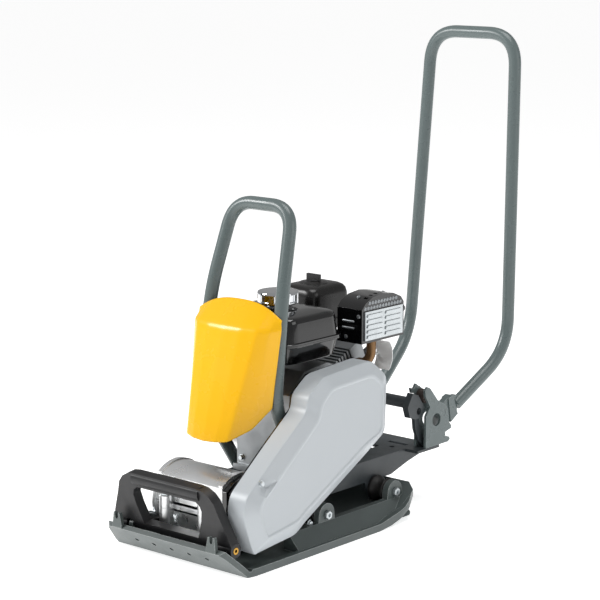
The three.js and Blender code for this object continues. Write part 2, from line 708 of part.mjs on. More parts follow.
function beltOutline(rBig, rSmall) {
  const dy = CRANK.y - EXCITER.y;
  const dz = CRANK.z - EXCITER.z;
  const tilt = Math.atan2(dz, dy);
  const wrap = Math.acos((rBig - rSmall) / Math.hypot(dy, dz));
  const arc = (cy, cz, r, from, to) => {
    const list = [];
    for (let i = 0; i <= 14; i += 1) {
      const a = from + ((to - from) * i) / 14;
      list.push([cy + r * Math.cos(a), cz + r * Math.sin(a)]);
    }
    return list;
  };
  const big = arc(CRANK.y, CRANK.z, rBig, tilt - wrap, tilt + wrap);
  const small = arc(EXCITER.y, EXCITER.z, rSmall, tilt + wrap, tilt + 2 * Math.PI - wrap);
  return big.concat(small);
}

function driveBelt() {
  const outer = extrudeX(beltOutline(46.4, 33.4), 121, 131);
  const inner = extrudeX(beltOutline(40.8, 27.8), 115, 137);
  return outer.subtract(inner);
}

const GUARD_OUTLINE = [[-150, 33], [-160, 58], [-170, 86], [-174, 106], [-167, 132], [-85, 197],
  [-20, 246], [-16, 271], [22, 298], [146, 306], [190, 272], [187, 174], [134, 144], [-24, 60],
  [-48, 44], [-140, 35]];

function beltGuard() {
  const rings = [ringX(GUARD_OUTLINE, GUARD.inner), ringX(GUARD_OUTLINE, GUARD.wall),
    ringX(inset(GUARD_OUTLINE, 11), GUARD.face), ringX(inset(GUARD_OUTLINE, 17), GUARD.face),
    ringX(inset(GUARD_OUTLINE, 20), GUARD.face - 2)];
  const thin = inset(GUARD_OUTLINE, GUARD.skin);
  const hollow = [ringX(thin, GUARD.inner - 1), ringX(thin, GUARD.wall - 1),
    ringX(inset(GUARD_OUTLINE, 15), GUARD.face - 5)];
  return loft(rings, 0).subtract(loft(hollow, 0));
}

function beltGuardBack() {
  const plate = extrudeX(inset(GUARD_OUTLINE, 1), 106, GUARD.inner - GAP);
  const holes = rodX(16, 100, 115, EXCITER.y, EXCITER.z).add(rodX(16, 100, 115, CRANK.y, CRANK.z));
  return plate.subtract(holes);
}

// ---- assembly -------------------------------------------------------------------------
addPart('base_plate', basePlate(), 'casting');
bothSides((side, s) => {
  MOUNT.y.forEach((y, i) => {
    const end = i ? 'rear' : 'front';
    addPart(`rubber_mount_${end}_${side}`, rubberMount(s, y), 'rubber');
    addPart(`mount_bolt_${end}_${side}`, mountBolt(s, y), 'zinc');
  });
  addPart(`accessory_fork_${side}`, fork(s), 'casting');
  addPart(`pivot_bush_${side}`, pivotBush(s), 'brass');
  addPart(`handle_bracket_${side}`, handleBracket(s), 'tube');
  addPart(`handle_stop_${side}`, stopRoller(s), 'rubber');
  addPart(`handle_end_${side}`, handleEnd(s), 'tube');
});
addPart('exciter_lower_half', exciterLower(), 'alloy');
addPart('exciter_upper_half', exciterUpper(), 'alloy');
addPart('exciter_end_cover', exciterEndCover(), 'alloy');
addPart('exciter_end_plate', exciterEndPlate(), 'black');
addPart('exciter_shaft', exciterShaft(), 'zinc');
addPart('exciter_pulley', exciterPulley(), 'steel');
FRONT_BOLTS.forEach((spot, i) => {
  addPart(`exciter_bolt_${i ? 'right' : 'left'}`, exciterBolt(spot), 'zinc');
});
addPart('front_carry_handle', carryHandle(), 'plastic');
addPart('engine_deck', engineDeck(), 'steel');
addPart('lift_hoop', liftHoop(), 'tube');
addPart('front_cover', frontCover(), 'yellow');
addPart('rear_cross_bar', rearCrossBar(), 'steel');
addPart('guide_handle', guideHandle(), 'tube');
addPart('crankcase', crankcase(), 'alloy');
addPart('crankcase_cover', crankcaseCover(), 'alloy');
addPart('cylinder_block', cylinderBlock(), 'alloy');
addPart('cylinder_head', cylinderHead(), 'alloy');
addPart('spark_plug_cap', sparkPlugCap(), 'rubber');
addPart('fan_cover', fanCover(), 'black');
addPart('starter_grip', starterGrip(), 'plastic');
addPart('fuel_tank_lower', fuelTankLower(), 'black');
addPart('fuel_tank_upper', fuelTankUpper(), 'black');
addPart('fuel_cap', fuelCap(), 'chrome');
addPart('air_cleaner_base', airCleanerBase(), 'plastic');
addPart('air_cleaner_cover', airCleanerCover(), 'plastic');
addPart('air_cleaner_knob', airCleanerKnob(), 'plastic');
addPart('carburettor', carburettor(), 'alloy');
addPart('choke_lever', chokeLever(), 'plastic');
addPart('throttle_lever', throttleLever(), 'plastic');
addPart('muffler_guard', mufflerGuard(), 'black');
addPart('muffler_body', mufflerBody(), 'exhaust');
addPart('muffler_louvres', louvrePanel(), 'zinc');
addPart('exhaust_pipe', exhaustPipe(), 'exhaust');
addPart('heat_deflector', heatDeflector(), 'pale');
addPart('oil_filler_cap', oilFillerCap(), 'plastic');
addPart('engine_switch', engineSwitch(), 'plastic');
addPart('crankshaft', crankshaft(), 'steel');
addPart('drive_belt', driveBelt(), 'rubber');
addPart('belt_guard', beltGuard(), 'guard');
addPart('belt_guard_back', beltGuardBack(), 'steel');

export default group;
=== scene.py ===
import math

import bpy
import numpy as np
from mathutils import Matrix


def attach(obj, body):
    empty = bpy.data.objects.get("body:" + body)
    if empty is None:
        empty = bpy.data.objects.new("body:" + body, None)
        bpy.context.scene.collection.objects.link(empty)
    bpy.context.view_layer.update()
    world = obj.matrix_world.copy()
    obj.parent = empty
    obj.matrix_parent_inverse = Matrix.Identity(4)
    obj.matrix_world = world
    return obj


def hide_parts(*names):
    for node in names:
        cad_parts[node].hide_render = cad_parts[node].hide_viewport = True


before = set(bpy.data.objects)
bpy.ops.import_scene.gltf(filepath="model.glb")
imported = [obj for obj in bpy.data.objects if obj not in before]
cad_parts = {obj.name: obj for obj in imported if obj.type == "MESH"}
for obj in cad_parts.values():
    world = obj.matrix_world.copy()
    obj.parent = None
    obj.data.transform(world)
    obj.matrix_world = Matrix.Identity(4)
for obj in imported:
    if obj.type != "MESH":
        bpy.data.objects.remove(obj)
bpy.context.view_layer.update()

MM = 0.001

# ---- Camera ----------------------------------------------------------------
# A long lens at chest height in front of the machine's belt side, looking
# slightly down. The upright handle keeps its lines almost parallel.
CAMERA_AT = (2.271, -2.491, 1.054)
CAMERA_YAW = math.radians(40.89)
CAMERA_DOWN = math.radians(10.78)
LENS_MM = 122.77
SENSOR_MM = 36

camera_data = bpy.data.cameras.new("studio_camera")
camera_data.lens = LENS_MM
camera_data.sensor_width = SENSOR_MM
camera = bpy.data.objects.new("studio_camera", camera_data)
camera.location = CAMERA_AT
camera.rotation_euler = (math.pi / 2 - CAMERA_DOWN, 0, CAMERA_YAW)
bpy.context.scene.collection.objects.link(camera)
bpy.context.scene.camera = camera
bpy.context.scene.view_settings.view_transform = "Standard"


# ---- Studio: pale floor and soft lights --------------------------------------
# A seamless pale sweep under a large soft box on the left, a weaker one on the
# right, one overhead and an even white surround.
def linear(code, alpha=1.0):
    """An sRGB hex colour as linear red, green and blue: the standard transfer curve."""
    parts = np.array([int(code[i:i + 2], 16) for i in (1, 3, 5)]) / 255
    low = parts / 12.92
    high = ((parts + 0.055) / 1.055) ** 2.4
    return (*np.where(parts <= 0.04045, low, high), alpha)


def add(tree, kind, inputs=None, **settings):
    """Adds one node: settings go on the node, inputs are values or sockets to link."""
    node = tree.nodes.new(kind)
    for key, value in settings.items():
        setattr(node, key, value)
    for key, value in (inputs or {}).items():
        if isinstance(value, bpy.types.NodeSocket):
            tree.links.new(value, node.inputs[key])
        else:
            node.inputs[key].default_value = value
    return node


def soft_box(name, power, size, place, aim):
    """A square area light at a place, turned so that it faces the aim."""
    data = bpy.data.lights.new(name, "AREA")
    data.energy = power
    data.size = size
    light = bpy.data.objects.new(name, data)
    light.location = place
    toward = np.subtract(aim, place)
    light.rotation_euler = (
        math.acos(-toward[2] / np.linalg.norm(toward)),
        0,
        math.atan2(toward[1], toward[0]) - math.pi / 2,
    )
    bpy.context.scene.collection.objects.link(light)


MACHINE_MIDDLE = (0, 0.1, 0.3)
soft_box("key_light", 74, 1.2, (-2.3, -2.0, 2.2), MACHINE_MIDDLE)
soft_box("side_light", 12, 1.6, (3.0, 0.9, 1.6), MACHINE_MIDDLE)
soft_box("top_light", 34, 1.6, (0.3, 0.3, 3.0), MACHINE_MIDDLE)

world = bpy.data.worlds.new("white_surround")
world.use_nodes = True
background = world.node_tree.nodes["Background"]
background.inputs["Color"].default_value = linear("#ffffff")
background.inputs["Strength"].default_value = 0.32
bpy.context.scene.world = world

FLOOR_HALF = 45
floor_corners = [(x * FLOOR_HALF, y * FLOOR_HALF, 0) for x, y in ((-1, -1), (1, -1), (1, 1), (-1, 1))]
floor_mesh = bpy.data.meshes.new("studio_floor")
floor_mesh.from_pydata(floor_corners, [], [(0, 1, 2, 3)])
floor = bpy.data.objects.new("studio_floor", floor_mesh)
bpy.context.scene.collection.objects.link(floor)
floor_paint = bpy.data.materials.new("matt_white_sweep")
floor_paint.use_nodes = True
floor_shader = floor_paint.node_tree.nodes["Principled BSDF"]
floor_shader.inputs["Base Color"].default_value = linear("#fbfbfb")
floor_shader.inputs["Roughness"].default_value = 0.9
floor_shader.inputs["Specular IOR Level"].default_value = 0.1
floor_shader.inputs["Emission Color"].default_value = linear("#ffffff")
floor_shader.inputs["Emission Strength"].default_value = 0.66
floor_mesh.materials.append(floor_paint)


# ---- Base plate and its forks ------------------------------------------------
# Sand-cast iron, painted grey-green. The casting skin stays slightly rough
# under the paint, and the edges are lighter: a painted edge highlight together with worn paint.
def surface(name, main, second, rough, grain_mm, relief_mm, metal=0.0, coat=0.0, patch_mm=40,
            wear_and_highlight=None):
    """A material: two close colours mixed by noise patches, roughness that varies with the
    same patches, a fine bump whose grain and height are real sizes in millimetres, and a lighter
    colour within 1.5 mm of the edges, a painted edge highlight together with wear."""
    made = bpy.data.materials.new(name)
    made.use_nodes = True
    tree = made.node_tree
    shader = tree.nodes["Principled BSDF"]
    place = add(tree, "ShaderNodeTexCoord").outputs["Object"]
    patches = add(tree, "ShaderNodeTexNoise",
                  {"Vector": place, "Scale": 1000 / patch_mm, "Detail": 4.0, "Roughness": 0.6})
    grain = add(tree, "ShaderNodeTexNoise",
                {"Vector": place, "Scale": 1000 / grain_mm, "Detail": 3.0, "Roughness": 0.55})
    blend = add(tree, "ShaderNodeMix",
                {"Factor": patches.outputs["Fac"], "A": linear(main), "B": linear(second)},
                data_type="RGBA")
    spread = add(tree, "ShaderNodeMapRange",
                 {"Value": patches.outputs["Fac"], "From Min": 0.3, "From Max": 0.7,
                  "To Min": rough - 0.06, "To Max": rough + 0.06})
    # A lighter colour within 1.5 mm of the edges: a painted edge highlight together with worn paint.
    if wear_and_highlight:
        eased = add(tree, "ShaderNodeBevel", {"Radius": 1.5 * MM}, samples=6)
        true = add(tree, "ShaderNodeNewGeometry")
        same = add(tree, "ShaderNodeVectorMath",
                   {0: eased.outputs["Normal"], 1: true.outputs["Normal"]}, operation="DOT_PRODUCT")
        edge = add(tree, "ShaderNodeMapRange",
                   {"Value": same.outputs["Value"], "From Min": 0.99, "From Max": 0.93,
                    "To Min": 0.0, "To Max": 0.75})
        blend = add(tree, "ShaderNodeMix",
                    {"Factor": edge.outputs["Result"], "A": blend.outputs["Result"],
                     "B": linear(wear_and_highlight)}, data_type="RGBA")
    bump = add(tree, "ShaderNodeBump",
               {"Height": grain.outputs["Fac"], "Distance": relief_mm * MM, "Strength": 0.8})
    tree.links.new(blend.outputs["Result"], shader.inputs["Base Color"])
    tree.links.new(spread.outputs["Result"], shader.inputs["Roughness"])
    tree.links.new(bump.outputs["Normal"], shader.inputs["Normal"])
    shader.inputs["Metallic"].default_value = metal
    shader.inputs["Coat Weight"].default_value = coat
    return made


CURVED_BELOW = math.radians(32)


def smooth_shading():
    """A modifier's node group that shades faces smooth across edges under 32 degrees."""
    group = bpy.data.node_groups.new("smooth_curved_faces", "GeometryNodeTree")
    group.interface.new_socket("Geometry", in_out="INPUT", socket_type="NodeSocketGeometry")
    group.interface.new_socket("Geometry", in_out="OUTPUT", socket_type="NodeSocketGeometry")
    start = add(group, "NodeGroupInput").outputs["Geometry"]
    angle = add(group, "GeometryNodeInputMeshEdgeAngle").outputs["Unsigned Angle"]
    gentle = add(group, "FunctionNodeCompare", data_type="FLOAT", operation="LESS_THAN")
    group.links.new(angle, gentle.inputs[0])
    gentle.inputs[1].default_value = CURVED_BELOW
    faces = add(group, "GeometryNodeSetShadeSmooth", {"Geometry": start}, domain="FACE")
    edges = add(group, "GeometryNodeSetShadeSmooth",
                {"Geometry": faces.outputs["Geometry"], "Shade Smooth": gentle.outputs["Result"]},
                domain="EDGE")
    add(group, "NodeGroupOutput", {"Geometry": edges.outputs["Geometry"]})
    return group


SMOOTH = smooth_shading()
WELD_WITHIN = 0.00002
FLAT_WITHIN = math.radians(0.6)
EDGE_ABOVE = math.radians(34)


def shade(piece):
    """Smooths the piece's curves and evens the shading of its large faces."""
    piece.modifiers.new("smooth", "NODES").node_group = SMOOTH
    piece.modifiers.new("even_faces", "WEIGHTED_NORMAL").keep_sharp = True


def soften(piece, round_mm):
    """Welds a faceted piece, joins its flat faces, rounds its edges and smooths its curves."""
    piece.modifiers.new("weld", "WELD").merge_threshold = WELD_WITHIN
    flat = piece.modifiers.new("flat_faces", "DECIMATE")
    flat.decimate_type = "DISSOLVE"
    flat.angle_limit = FLAT_WITHIN
    edge = piece.modifiers.new("rounded_edges", "BEVEL")
    edge.width = round_mm * MM
    edge.segments = 2
    edge.limit_method = "ANGLE"
    edge.angle_limit = EDGE_ABOVE
    shade(piece)


def dress(material, round_mm, *names):
    """Gives CAD nodes their material and rounds the edges that the solids leave sharp."""
    for name in names:
        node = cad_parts[name]
        node.data.materials.clear()
        node.data.materials.append(material)
        soften(node, round_mm)


# Its edges take the lighter colour: a painted edge highlight with worn paint.
painted_casting = surface("painted_cast_iron", "#596160", "#4e5655", 0.34, 2.2, 0.12,
                          wear_and_highlight="#b4bab8")
dress(painted_casting, 1.4, "base_plate")
dress(painted_casting, 0.8, "accessory_fork_left", "accessory_fork_right")

# ---- Rubber buffers and their bolts -------------------------------------------
# Moulded black rubber, waisted between a wide collar on the deck side and a
# narrower one with a steel washer on the sole's ear; zinc-plated hex bolts.
def linked(name, points, faces, material, body):
    """A mesh from points in metres and faces, shaded smooth under 32 degrees, with its body."""
    mesh = bpy.data.meshes.new(name)
    mesh.from_pydata(points, [], faces)
    mesh.materials.append(material)
    piece = bpy.data.objects.new(name, mesh)
    bpy.context.scene.collection.objects.link(piece)
    shade(piece)
    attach(piece, body)
    return piece


def cells(rows, columns, across):
    """The corner numbers of the cells between neighbouring points of a grid: that many cells
    in each row, the one past the last column closing on the first."""
    r, c = np.meshgrid(np.arange(rows - 1), np.arange(across), indexing="ij")
    after = (c + 1) % columns
    return np.stack([r * columns + c, r * columns + after,
                     (r + 1) * columns + after, (r + 1) * columns + c], -1).reshape(-1, 4)


# No axis points along this direction, so it can fix where each turn starts.
ASIDE = (0.31, 0.17, 0.93)


def turned(name, profile, spots, material, body, sides):
    """Copies of one turned shape as a single mesh: a profile of radius and distance along its
    axis, one copy at each spot's place and direction, with both ends closed."""
    radius, along = (np.array(profile, float) * MM).T
    turn = (np.arange(sides) + 0.5) * 2 * math.pi / sides
    rows = len(radius)
    quads = cells(rows, sides, sides)
    points = []
    faces = []
    for place, way in spots:
        ahead = np.array(way, float) / np.linalg.norm(way)
        side = np.cross(ahead, ASIDE)
        side /= np.linalg.norm(side)
        up = np.cross(ahead, side)
        out = side * np.cos(turn)[:, None] + up * np.sin(turn)[:, None]
        grid = (np.array(place, float) * MM + ahead * along[:, None, None]
                + out * radius[:, None, None])
        start = len(points)
        points.extend(grid.reshape(-1, 3).tolist())
        faces.extend((quads + start).tolist())
        faces.append(list(range(start, start + sides))[::-1])
        faces.append(list(range(start + (rows - 1) * sides, start + rows * sides)))
    return linked(name, points, faces, material, body)


BUFFER_ENDS = (("front", 60), ("rear", 246))
BUFFER_Z = 49
BOLT_HEAD_X = 122.4
moulded_rubber = surface("moulded_rubber", "#151313", "#1d1b1a", 0.5, 0.8, 0.05)
zinc_plate = surface("zinc_plated_steel", "#d3d8da", "#bcc2c5", 0.28, 0.5, 0.01, metal=0.9)
buffer_profile = [(2, 76.4), (19, 76.4), (21.4, 77.4), (22.6, 79.6), (22.4, 83), (20.6, 85.4),
                  (18.2, 88), (16.8, 91.5), (16.4, 95), (17, 99), (18.6, 102), (20.2, 103.4),
                  (20.8, 105), (20.4, 106.4), (19.4, 107), (19, 107.2), (19, 109.6), (2, 109.6)]
hex_head = [(0.4, 0), (7.4, 0), (8.2, 0.5), (8.2, 5.2), (7.2, 6), (3.8, 6), (3.5, 5.8), (3.3, 2.8),
            (0.4, 2.6)]
for end, y in BUFFER_ENDS:
    for side, way in (("left", -1), ("right", 1)):
        buffer = turned(f"buffer_{end}_{side}", buffer_profile, [((0, y, BUFFER_Z), (way, 0, 0))],
                        moulded_rubber, "base", sides=48)
        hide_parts(f"rubber_mount_{end}_{side}")
        head = turned(f"buffer_bolt_{end}_{side}", hex_head,
                      [((way * BOLT_HEAD_X, y, BUFFER_Z), (way, 0, 0))], zinc_plate, "base",
                      sides=6)
        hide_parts(f"mount_bolt_{end}_{side}")

# ---- Exciter --------------------------------------------------------------------
# Two die-cast aluminium halves, shot-blasted bright, with a black end plate and
# zinc-plated bolts through its bosses. A stud and a bolted rubber block stand
# by its front edge.
blasted_aluminium = surface("blasted_aluminium", "#f0f1f1", "#e2e4e5", 0.3, 1.1, 0.015, metal=0.8,
                            patch_mm=70)
black_enamel = surface("gloss_black_enamel", "#050506", "#08090a", 0.14, 3.0, 0.015, coat=0.6)
dress(blasted_aluminium, 1.6, "exciter_lower_half", "exciter_upper_half")
dress(blasted_aluminium, 0.8, "exciter_end_cover")
dress(black_enamel, 1.0, "exciter_end_plate")
dress(zinc_plate, 0.5, "exciter_bolt_left", "exciter_bolt_right")
turned_steel = surface("turned_steel", "#8d9092", "#7d8082", 0.28, 0.4, 0.008, metal=1.0)
dress(turned_steel, 0.5, "exciter_shaft", "exciter_pulley")
UP = (0, 0, 1)
rear_bolt_spots = [((x, -25, 97), UP) for x in (-52, 36)]
turned("exciter_rear_bolts", hex_head, rear_bolt_spots, zinc_plate, "base", sides=6)
stud_profile = [(0.4, 0), (4.4, 0), (4.4, 24), (3.2, 25), (3.2, 28), (5.6, 28), (5.6, 32), (4.8, 33),
                (0.4, 33)]
turned("earthing_stud", stud_profile, [((-19, -160, 40), UP)], zinc_plate, "base",
       sides=16)
BLOCK_FOOT = (-88, -150, 36)
BLOCK_TOP = (-88, -150, 55)
block_profile = [(1, 0), (17, 0), (18, 1), (18, 17), (16.6, 19), (1, 19)]
turned("rubber_stop_block", block_profile, [(BLOCK_FOOT, UP)], moulded_rubber, "base",
       sides=24)
turned("stop_block_bolt", hex_head, [(BLOCK_TOP, UP)], zinc_plate, "base", sides=6)

# ---- Front carrying handle --------------------------------------------------------
# Glass-filled black nylon, moulded with a fine spark-eroded texture, on turned
# brass bushes.
textured_nylon = surface("textured_black_nylon", "#18181a", "#131315", 0.42, 0.6, 0.03)
dress(textured_nylon, 3.2, "front_carry_handle")
turned_brass = surface("turned_brass", "#c79a4a", "#b58a3f", 0.26, 0.4, 0.006, metal=1.0)
dress(turned_brass, 0.4, "pivot_bush_left", "pivot_bush_right")

# ---- Engine deck and rear bar ------------------------------------------------------
# Folded steel sheet, powder coated dark grey, with a welded bar at the rear.
dark_powder_coat = surface("dark_powder_coat", "#3d4346", "#34393c", 0.4, 1.2, 0.05)
dress(dark_powder_coat, 0.8, "engine_deck", "rear_cross_bar")


# ---- Lifting hoop and guide handle ---------------------------------------------------
# Round steel tube of 23 mm, cold bent in smooth curves and powder coated a
# greenish grey with the fine orange peel of that coat.
def bent_path(corners, bend_mm, step_mm=6):
    """Points in metres along straight runs joined at each corner by a quadratic curve that
    starts and ends bend_mm from the corner: about step_mm apart or closer round the curves,
    and about three times that on the straights."""
    at = np.array(corners, float) * MM
    bend = bend_mm * MM
    runs = []
    start = at[0]
    for before, corner, after in zip(at[:-2], at[1:-1], at[2:]):
        into = corner + bend * (before - corner) / np.linalg.norm(before - corner)
        out = corner + bend * (after - corner) / np.linalg.norm(after - corner)
        count = max(2, int(np.linalg.norm(into - start) / (step_mm * 3 * MM)))
        runs.append(start + (into - start) * np.linspace(0, 1, count, endpoint=False)[:, None])
        t = np.linspace(0, 1, max(8, int(bend_mm / step_mm * 2)), endpoint=False)[:, None]
        runs.append((1 - t) ** 2 * into + 2 * t * (1 - t) * corner + t ** 2 * out)
        start = out
    count = max(2, int(np.linalg.norm(at[-1] - start) / (step_mm * 3 * MM)))
    runs.append(start + (at[-1] - start) * np.linspace(0, 1, count)[:, None])
    return np.concatenate(runs)


def round_bar(path, radius_mm, sides=32):
    """A grid of points: a circle of that radius carried along the path, each circle square to
    the path, its start direction carried from ring to ring without twist."""
    ahead = np.gradient(path, axis=0)
    ahead /= np.linalg.norm(ahead, axis=1)[:, None]
    first = np.cross(ahead[0], (1.0, 0.2, 0.1))
    side = np.empty_like(path)
    side[0] = first / np.linalg.norm(first)
    for i in range(1, len(path)):
        flat = side[i - 1] - ahead[i] * (side[i - 1] @ ahead[i])
        side[i] = flat / np.linalg.norm(flat)
    up = np.cross(ahead, side)
    turn = np.linspace(0, 2 * math.pi, sides, endpoint=False)[None, :, None]
    around = side[:, None] * np.cos(turn) + up[:, None] * np.sin(turn)
    return path[:, None] + radius_mm * MM * around


def skin(name, grid, material, body, wrap=True, closed=True):
    """A mesh over a grid of points (rows, columns, 3): a quad between each four neighbours,
    the last column joined to the first where it wraps, the end rows capped where closed, and
    all faces turned outwards by the sign of the volume."""
    rows, columns = grid.shape[:2]
    quads = cells(rows, columns, columns if wrap else columns - 1)
    points = grid.reshape(-1, 3)
    a, b, d, e = (points[quads[:, k]] for k in range(4))
    volume = np.einsum("ij,ij->i", a, np.cross(b, d) + np.cross(d, e)).sum()
    faces = quads.tolist()
    if closed:
        faces.append(list(range(columns))[::-1])
        faces.append(list(range((rows - 1) * columns, rows * columns)))
    if volume < 0:
        faces = [face[::-1] for face in faces]
    return linked(name, points.tolist(), faces, material, body)


def mirrored(corners):
    """The path's corners on the belt side, then the same on the other side, back to front."""
    return corners + [(-x, y, z) for x, y, z in reversed(corners)]


TUBE_RADIUS = 11.5
# Its edges take a lighter colour: a painted edge highlight with worn paint.
grey_powder_coat = surface("grey_powder_coat", "#657070", "#5e6969", 0.28, 1.4, 0.012,
                            wear_and_highlight="#95a09f")

handle_path = bent_path(mirrored([(92, 462, 163), (115, 590, 249), (96, 626, 831)]), 60)
handle_tube = skin("guide_handle_tube", round_bar(handle_path, TUBE_RADIUS), grey_powder_coat,
                   "guide_handle")
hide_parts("guide_handle")

hoop_path = bent_path(mirrored([(90, 75, 90), (85, -30, 236), (80, -6, 424), (65, 37, 571)]), 44)
hoop_tube = skin("lift_hoop_tube", round_bar(hoop_path, TUBE_RADIUS), grey_powder_coat, "base")
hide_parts("lift_hoop")
dress(grey_powder_coat, 0.8, "handle_end_left", "handle_end_right")
dress(grey_powder_coat, 1.2, "handle_bracket_left", "handle_bracket_right")
worn_rubber = surface("brown_stop_rubber", "#3a2d27", "#2c2421", 0.66, 0.8, 0.05)
dress(worn_rubber, 0.6, "handle_stop_left", "handle_stop_right")


# ---- Front cover ----------------------------------------------------------------------
# One yellow polyethylene moulding, domed at the front with two soft creases on
# each side, narrower at the bottom, its lower edge rising to the rear.
COVER_CREASE_Z = 377
COVER_RIM_Z = 418
COVER_RIM_DROP = 25
COVER_RIM_HALF = 92
COVER_WALL = 3


def front_cover():
    """A cross-section of five corners, interpolated between levels by height, carried up from
    the slanting lower edge to the crease, then drawn straight back to an arched rear edge. Each
    point is then moved half way to the mean of its neighbours, 6 times upwards and 12 across."""
    levels = np.array([180.0, 284.0, COVER_CREASE_Z])
    stops = [0.0, 0.28, 0.5, 0.72, 1.0]
    front_x, front_y = np.array([45.0, 57.0, 67.5]), np.array([-109.0, -80.5, -55.0])
    middle_x, middle_y = np.array([69.0, 77.5, 85.0]), np.array([-79.0, -58.5, -42.0])
    rear_x, rear_y = np.array([84.0, 90.0, 95.0]), np.array([-46.0, -36.0, -24.0])
    xs = [0 * front_x, 0.55 * front_x, front_x, middle_x, rear_x]
    ys = [front_y - 9, front_y - 6.5, front_y, middle_y, rear_y]

    def section(across, z):
        """The point at that share of the way round (-1 to 1) and that height."""
        at = [np.interp(z, levels, v) for v in xs + ys]
        share = np.abs(across)
        weights = [np.interp(share, stops, np.eye(5)[k]) for k in range(5)]
        x = sum(w * v for w, v in zip(weights, at[:5]))
        y = sum(w * v for w, v in zip(weights, at[5:]))
        return np.sign(across) * x, y

    across = np.linspace(-1, 1, 181)
    # The lower edge's height depends on how far back it is, so the two are settled by turns.
    low = np.full_like(across, 220.0)
    for _ in range(8):
        _, y = section(across, low)
        low = np.interp(y, [-125, -105, -72, -36, 20], [188, 195, 214, 250, 306])
    up = np.linspace(0, 1, 81)[:, None]
    z = low + up * (COVER_CREASE_Z - low)
    x, y = section(np.broadcast_to(across, z.shape), z)
    back = np.linspace(0, 1, 25)[1:, None]
    edge_x = x[-1] * np.interp(np.abs(across), stops, [0.95, 0.95, 0.95, 0.96, 0.97])
    edge_z = COVER_RIM_Z - COVER_RIM_DROP * np.abs(edge_x / COVER_RIM_HALF) ** 2.6
    edge_y = np.interp(np.abs(across), stops, [-20, -20, -21, -21.5, -22])
    top_x = x[-1] + (edge_x - x[-1]) * back
    top_y = y[-1] + (edge_y - y[-1]) * back
    top_z = z[-1] + (edge_z - z[-1]) * back
    grid = np.stack([np.vstack([x, top_x]), np.vstack([y, top_y]), np.vstack([z, top_z])], -1)
    for axis, passes in ((0, 6), (1, 12)):
        for _ in range(passes):
            inner, before, later = ([slice(None)] * 3 for _ in range(3))
            inner[axis] = slice(1, -1)
            before[axis] = slice(None, -2)
            later[axis] = slice(2, None)
            grid[tuple(inner)] += 0.5 * (
                (grid[tuple(before)] + grid[tuple(later)]) / 2 - grid[tuple(inner)])
    return grid * MM


yellow_moulding = surface("yellow_polyethylene", "#ffc20a", "#fdbe06", 0.26, 1.6, 0.02, patch_mm=90)
cover = skin("front_cover_moulding", front_cover(), yellow_moulding, "base",
             wrap=False, closed=False)
wall = cover.modifiers.new("wall", "SOLIDIFY")
wall.thickness = COVER_WALL * MM
wall.offset = -1
# The faces are evened before they are smoothed, and the wall comes last.
cover.modifiers.move(1, 0)
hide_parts("front_cover")


# ---- Belt guard -------------------------------------------------------------------------
# Light grey polyethylene, rotationally moulded, with a wide bevel round its
# outer face, a face panel set slightly in and two notches, the front one over a
# bolt. Its back is a black steel plate.
GUARD_OUTLINE = [
    (-150, 33), (-160, 58), (-170, 86), (-174, 106), (-167, 132), (-85, 197), (-20, 246),
    (-16, 271), (22, 298), (146, 306), (190, 272), (187, 174), (134, 144), (-24, 60), (-48, 44),
    (-140, 35),
]
GUARD_FACE = [
    (-134, 56), (-139, 66), (-148, 91), (-151, 108), (-147, 122), (-72, 181), (-4, 234), (2, 258),
    (29, 281), (140, 287), (171, 263), (169, 180), (122, 160), (-32, 79), (-54, 65), (-130, 55),
]
GUARD_NOTCHES = [((-138, 153), (-127, 144)), ((188, 262), (176, 254))]
NOTCH_FLOOR_X = 147
NOTCH_RISE = 12
NOTCH_HALF = 7
NOTCH_EASE = 2.5


def rounded(outline, bend_mm, count=9):
    """The closed outline with each corner swapped for a quadratic curve that starts and ends
    bend_mm from it, or at four tenths of a shorter side."""
    here = np.array(outline, float)
    back = np.roll(here, 1, 0) - here
    forward = np.roll(here, -1, 0) - here
    t = np.linspace(0, 1, count)[None, :, None]
    ends = []
    for edge in (back, forward):
        length = np.linalg.norm(edge, axis=1)[:, None]
        ends.append(here + edge / length * np.minimum(bend_mm, 0.4 * length))
    start, finish = (e[:, None] for e in ends)
    curve = (1 - t) ** 2 * start + 2 * t * (1 - t) * here[:, None] + t ** 2 * finish
    return curve.reshape(-1, 2)


def guard_shell():
    """Outlines between the outer one and the face's, rounded and carried along a profile of
    distance from the machine and share of the way in, then sunk to a flat floor near each
    notch's line, with a short slope back up to the bevel."""
    profile = [(110, 0), (125, 0), (140, 0), (144.4, 0), (145.8, 0.02), (146.6, 0.07), (147.4, 0.14)]
    profile += [(147.4 + 8.8 * t, 0.14 + 0.78 * t) for t in np.linspace(0, 1, 14)[1:]]
    profile += [(157, 0.98), (157.6, 1.04), (157.9, 1.12), (158, 1.2), (158, 1.26), (157.6, 1.32),
                (156.8, 1.37), (156.5, 1.42), (156.5, 1.5), (156.5, 1.7), (156.5, 1.9)]
    outer, face = np.array(GUARD_OUTLINE, float), np.array(GUARD_FACE, float)
    rings = []
    for out, share in profile:
        flat = rounded(outer + (face - outer) * share, 13)
        ahead = np.roll(flat, -1, 0)
        fine = np.concatenate([flat + (ahead - flat) * t for t in (0, 0.25, 0.5, 0.75)], 1)
        flat = fine.reshape(-1, 2)
        rings.append(np.column_stack([np.full(len(flat), out), flat]))
    grid = np.array(rings)
    for start, end in np.array(GUARD_NOTCHES, float):
        run = end - start
        along = np.clip((grid[..., 1:] - start) @ run / (run @ run), 0, 1)
        away = np.linalg.norm(grid[..., 1:] - start - along[..., None] * run, axis=-1)
        floor_x = NOTCH_FLOOR_X + NOTCH_RISE * np.clip((away - NOTCH_HALF) / NOTCH_EASE, 0, 1)
        sunk = (grid[..., 0] > NOTCH_FLOOR_X - 1) & (away < NOTCH_HALF + NOTCH_EASE)
        grid[..., 0] = np.where(sunk, np.minimum(grid[..., 0], floor_x), grid[..., 0])
    return grid * MM


